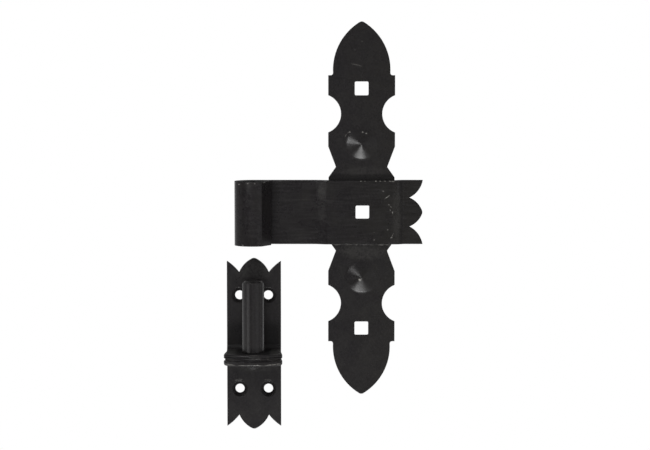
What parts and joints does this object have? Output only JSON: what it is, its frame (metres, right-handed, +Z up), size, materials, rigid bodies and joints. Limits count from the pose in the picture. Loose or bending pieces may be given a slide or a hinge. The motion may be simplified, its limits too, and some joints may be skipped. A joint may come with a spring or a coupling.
{
  "type": "shutter hinge",
  "caption": "Lift-off shutter hinge: a rolled-eye strap over a decorative cross plate, and a folded wall bracket with an upright pin that the eye drops over.",
  "frame": {"origin": "centre of the strap's rolled eye, at half its height, on the pin's axis", "axes": "+Z up along the pin's axis, +X along the strap towards its pointed end, -Y out of the shutter's face towards the viewer"},
  "size_m": [0.1168, 0.0282, 0.2417],
  "materials": {
    "black_strap": "satin black paint on hot rolled steel strip",
    "black_plate": "satin black paint on stamped steel sheet",
    "black_pin": "semi-gloss black paint on a turned steel pin",
    "black_bracket": "satin black paint on folded steel strip"
  },
  "bodies": {
    "shutter_half": {"strap": "black_strap", "cross_plate": "black_plate"},
    "hinge_pin": {"pin": "black_pin"},
    "wall_half": {"wall_bracket": "black_bracket"}
  },
  "joints": [
    {"name": "lift", "type": "slide", "parent": "shutter_half", "child": "hinge_pin", "axis": [0, 0, 1], "range_m": [0, 0.0631]},
    {"name": "swing", "type": "hinge", "parent": "hinge_pin", "child": "wall_half", "pos_m": [0, 0, -0.0858], "axis": [0, 0, 1], "range_deg": [0, 180]}
  ]
}
